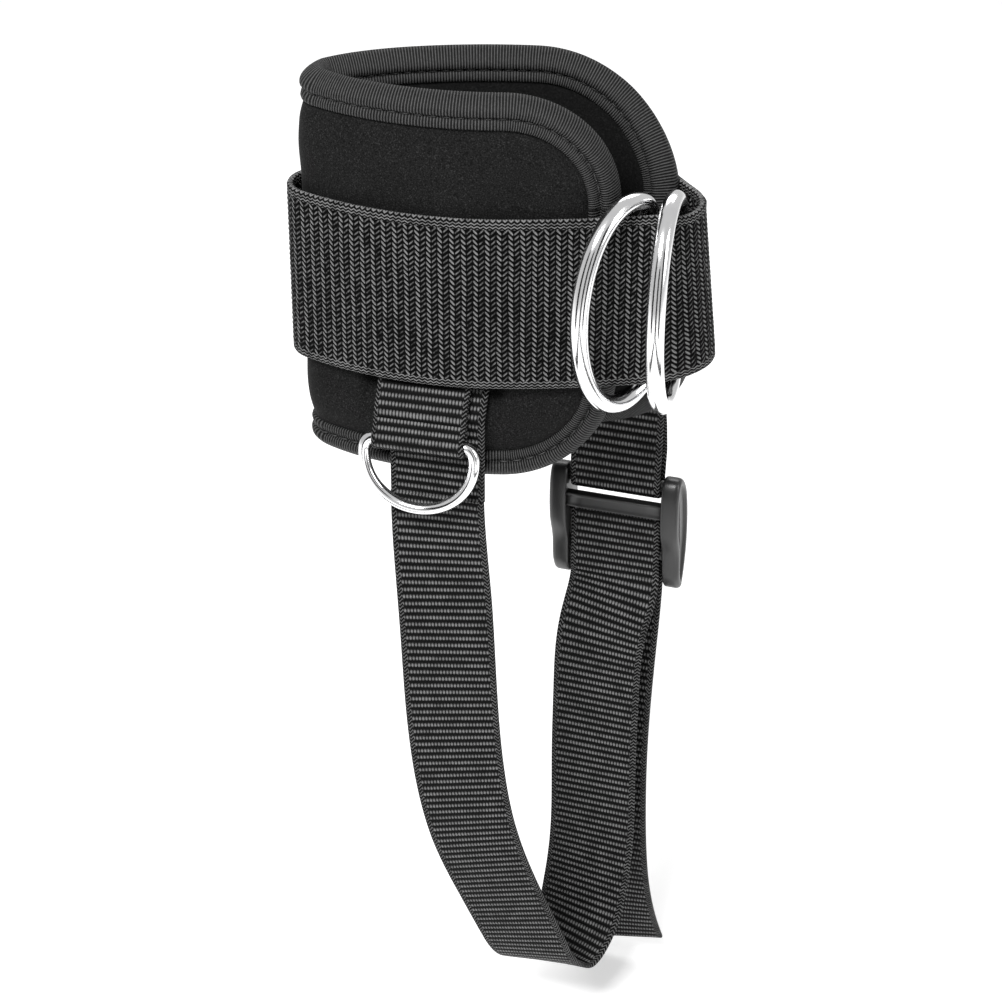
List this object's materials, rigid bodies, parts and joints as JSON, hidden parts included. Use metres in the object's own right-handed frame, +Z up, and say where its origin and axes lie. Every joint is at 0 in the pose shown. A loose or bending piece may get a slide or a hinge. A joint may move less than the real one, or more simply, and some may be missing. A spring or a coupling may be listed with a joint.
{
  "type": "ankle cuff",
  "caption": "Padded ankle cuff for a cable machine: wrap-round pad, wide strap through large D-rings, hanging small ring, and an adjustable foot strap with a ladder buckle.",
  "frame": {"origin": "centre of the leg opening, at the wide strap's middle height", "axes": "+Z up the leg, -Y the front that carries the rings, +X towards the strap's closing end"},
  "size_m": [0.1155, 0.0769, 0.3187],
  "materials": {
    "neoprene_core": "matte closed-cell foam",
    "neoprene_cover": "matte knitted jersey on neoprene",
    "lining": "smooth matte knit",
    "binding": "finely ribbed stretch tape with a slight sheen",
    "thread": "twisted thread",
    "wide_webbing": "herringbone webbing",
    "narrow_webbing": "cross-ribbed webbing",
    "hook_tape": "stiff hooks",
    "loop_tape": "brushed loops",
    "ring_metal": "bright polished plate",
    "buckle_plastic": "satin moulded plastic"
  },
  "bodies": {
    "cuff": {"pad_foam": "neoprene_core", "pad_outer_fabric": "neoprene_cover", "pad_lining": "lining", "edge_binding": "binding", "binding_stitches_outer": "thread", "binding_stitches_inner": "thread", "wide_strap": "wide_webbing", "strap_loop_tape": "loop_tape", "strap_hook_tape": "hook_tape", "strap_stitches": "thread", "ring_keeper": "narrow_webbing", "keeper_stitches": "thread", "ring_tab": "narrow_webbing", "tab_bartack": "thread", "foot_strap_front_top": "narrow_webbing", "foot_strap_front_leg": "narrow_webbing", "foot_strap_back_leg": "narrow_webbing", "foot_strap_back_top": "narrow_webbing", "buckle_loop": "narrow_webbing", "buckle_loop_bartack": "thread"},
    "front_ring": {"large_ring_front": "ring_metal"},
    "end_ring": {"large_ring_end": "ring_metal"},
    "hanging_ring": {"small_ring": "ring_metal"},
    "buckle": {"buckle": "buckle_plastic", "foot_strap_buckle_turn": "narrow_webbing", "foot_strap_tail_run": "narrow_webbing"},
    "tail": {"foot_strap_tail_end": "narrow_webbing"},
    "sole": {"foot_strap_sole": "narrow_webbing"}
  },
  "joints": [
    {"name": "front_ring_swing", "type": "hinge", "parent": "cuff", "child": "front_ring", "pos_m": [0.0408, -0.01375, 0], "axis": [0, 0, 1], "range_deg": [-1, 20]},
    {"name": "end_ring_swing", "type": "hinge", "parent": "cuff", "child": "end_ring", "pos_m": [0.048, -0.011, 0], "axis": [0, 0, 1], "range_deg": [-8, 90]},
    {"name": "small_ring_swing", "type": "hinge", "parent": "cuff", "child": "hanging_ring", "pos_m": [-0.0213, -0.02213, -0.0415], "axis": [0.9679, -0.2513, 0], "range_deg": [-165, 6]},
    {"name": "buckle_tilt", "type": "hinge", "parent": "cuff", "child": "buckle", "pos_m": [0.03497, 0.0178, -0.077], "axis": [-0.9528, 0.3037, 0], "range_deg": [-18, 1]},
    {"name": "foot_strap_adjust", "type": "slide", "parent": "cuff", "child": "sole", "axis": [0, 0, 1], "range_m": [-0.012, 0.025], "deforming": ["foot_strap_front_leg", "foot_strap_back_leg"]},
    {"name": "tail_feed", "type": "slide", "parent": "buckle", "child": "tail", "axis": [0, 0, -1], "range_m": [-0.024, 0.05], "deforming": ["foot_strap_tail_run"]}
  ],
  "couplings": [
    {"joint": "tail_feed", "follows": "foot_strap_adjust", "ratio": 2}
  ]
}
